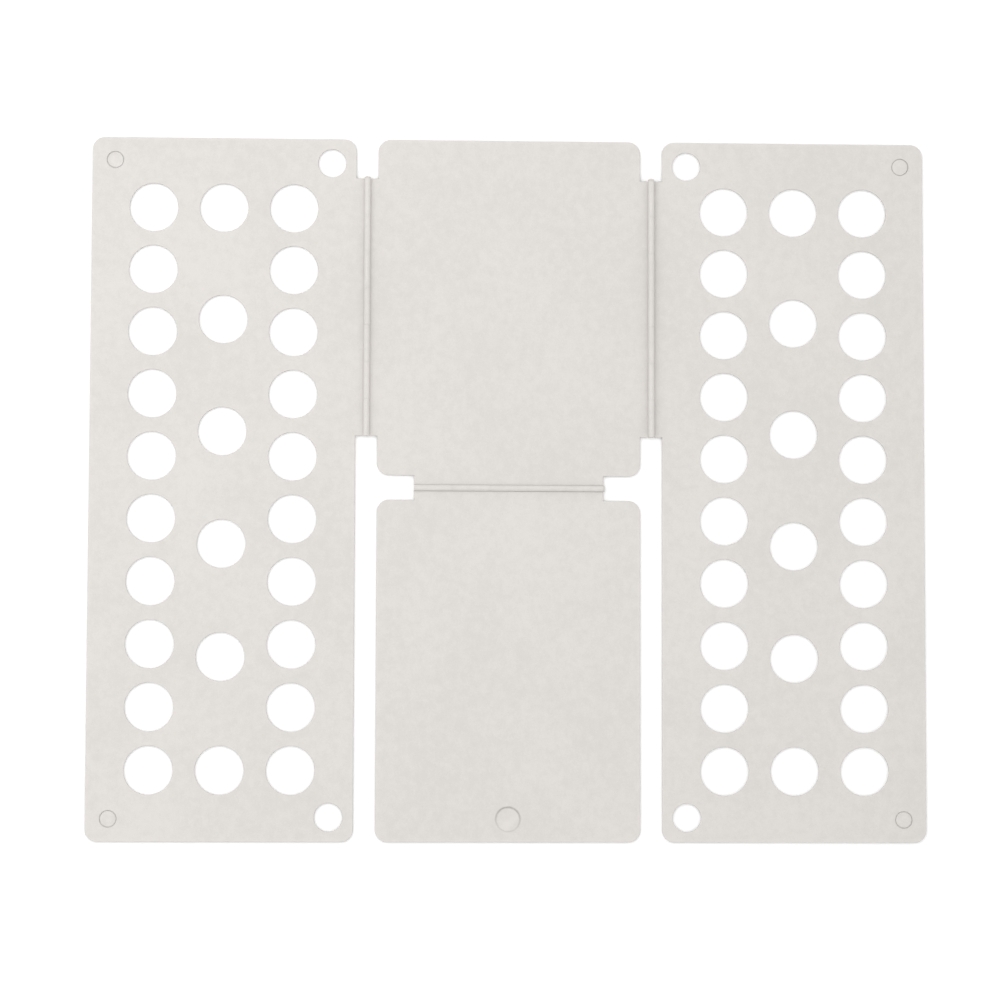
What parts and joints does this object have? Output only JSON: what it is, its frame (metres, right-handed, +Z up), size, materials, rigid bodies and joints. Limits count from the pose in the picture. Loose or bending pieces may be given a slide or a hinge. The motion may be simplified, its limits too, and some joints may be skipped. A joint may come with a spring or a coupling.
{
  "type": "shirt folding board",
  "caption": "Flat folding board of thin plastic panels: perforated side flaps and a plain lower flap hinge over a fixed centre panel to fold a shirt.",
  "frame": {"origin": "on the floor under the middle of the open board", "axes": "+X to the right and along the board's width, +Y towards the rear (collar) edge, +Z up"},
  "size_m": [0.7, 0.5884, 0.0081],
  "materials": {
    "panel_plastic": "fine satin grain, warm off-white polypropylene",
    "pin_plastic": "smooth satin, warm off-white",
    "foot_rubber": "soft matte, warm off-white"
  },
  "bodies": {
    "fixed_panel": {"upper_centre_panel": "panel_plastic", "left_hinge_pin": "pin_plastic", "right_hinge_pin": "pin_plastic", "lower_hinge_pin": "pin_plastic"},
    "lower_flap": {"lower_centre_panel": "panel_plastic", "lower_panel_foot": "foot_rubber"},
    "left_flap": {"left_panel": "panel_plastic", "left_rear_foot": "foot_rubber", "left_front_foot": "foot_rubber"},
    "right_flap": {"right_panel": "panel_plastic", "right_rear_foot": "foot_rubber", "right_front_foot": "foot_rubber"}
  },
  "joints": [
    {"name": "lower_fold", "type": "hinge", "parent": "fixed_panel", "child": "lower_flap", "pos_m": [0, 0.00065, 0.0031], "axis": [-1, 0, 0], "range_deg": [0, 180]},
    {"name": "left_fold", "type": "hinge", "parent": "fixed_panel", "child": "left_flap", "pos_m": [-0.1195, 0.15257, 0.0046], "axis": [0, 1, 0], "range_deg": [0, 180]},
    {"name": "right_fold", "type": "hinge", "parent": "fixed_panel", "child": "right_flap", "pos_m": [0.1195, 0.15257, 0.0055], "axis": [0, -1, 0], "range_deg": [0, 180]}
  ]
}
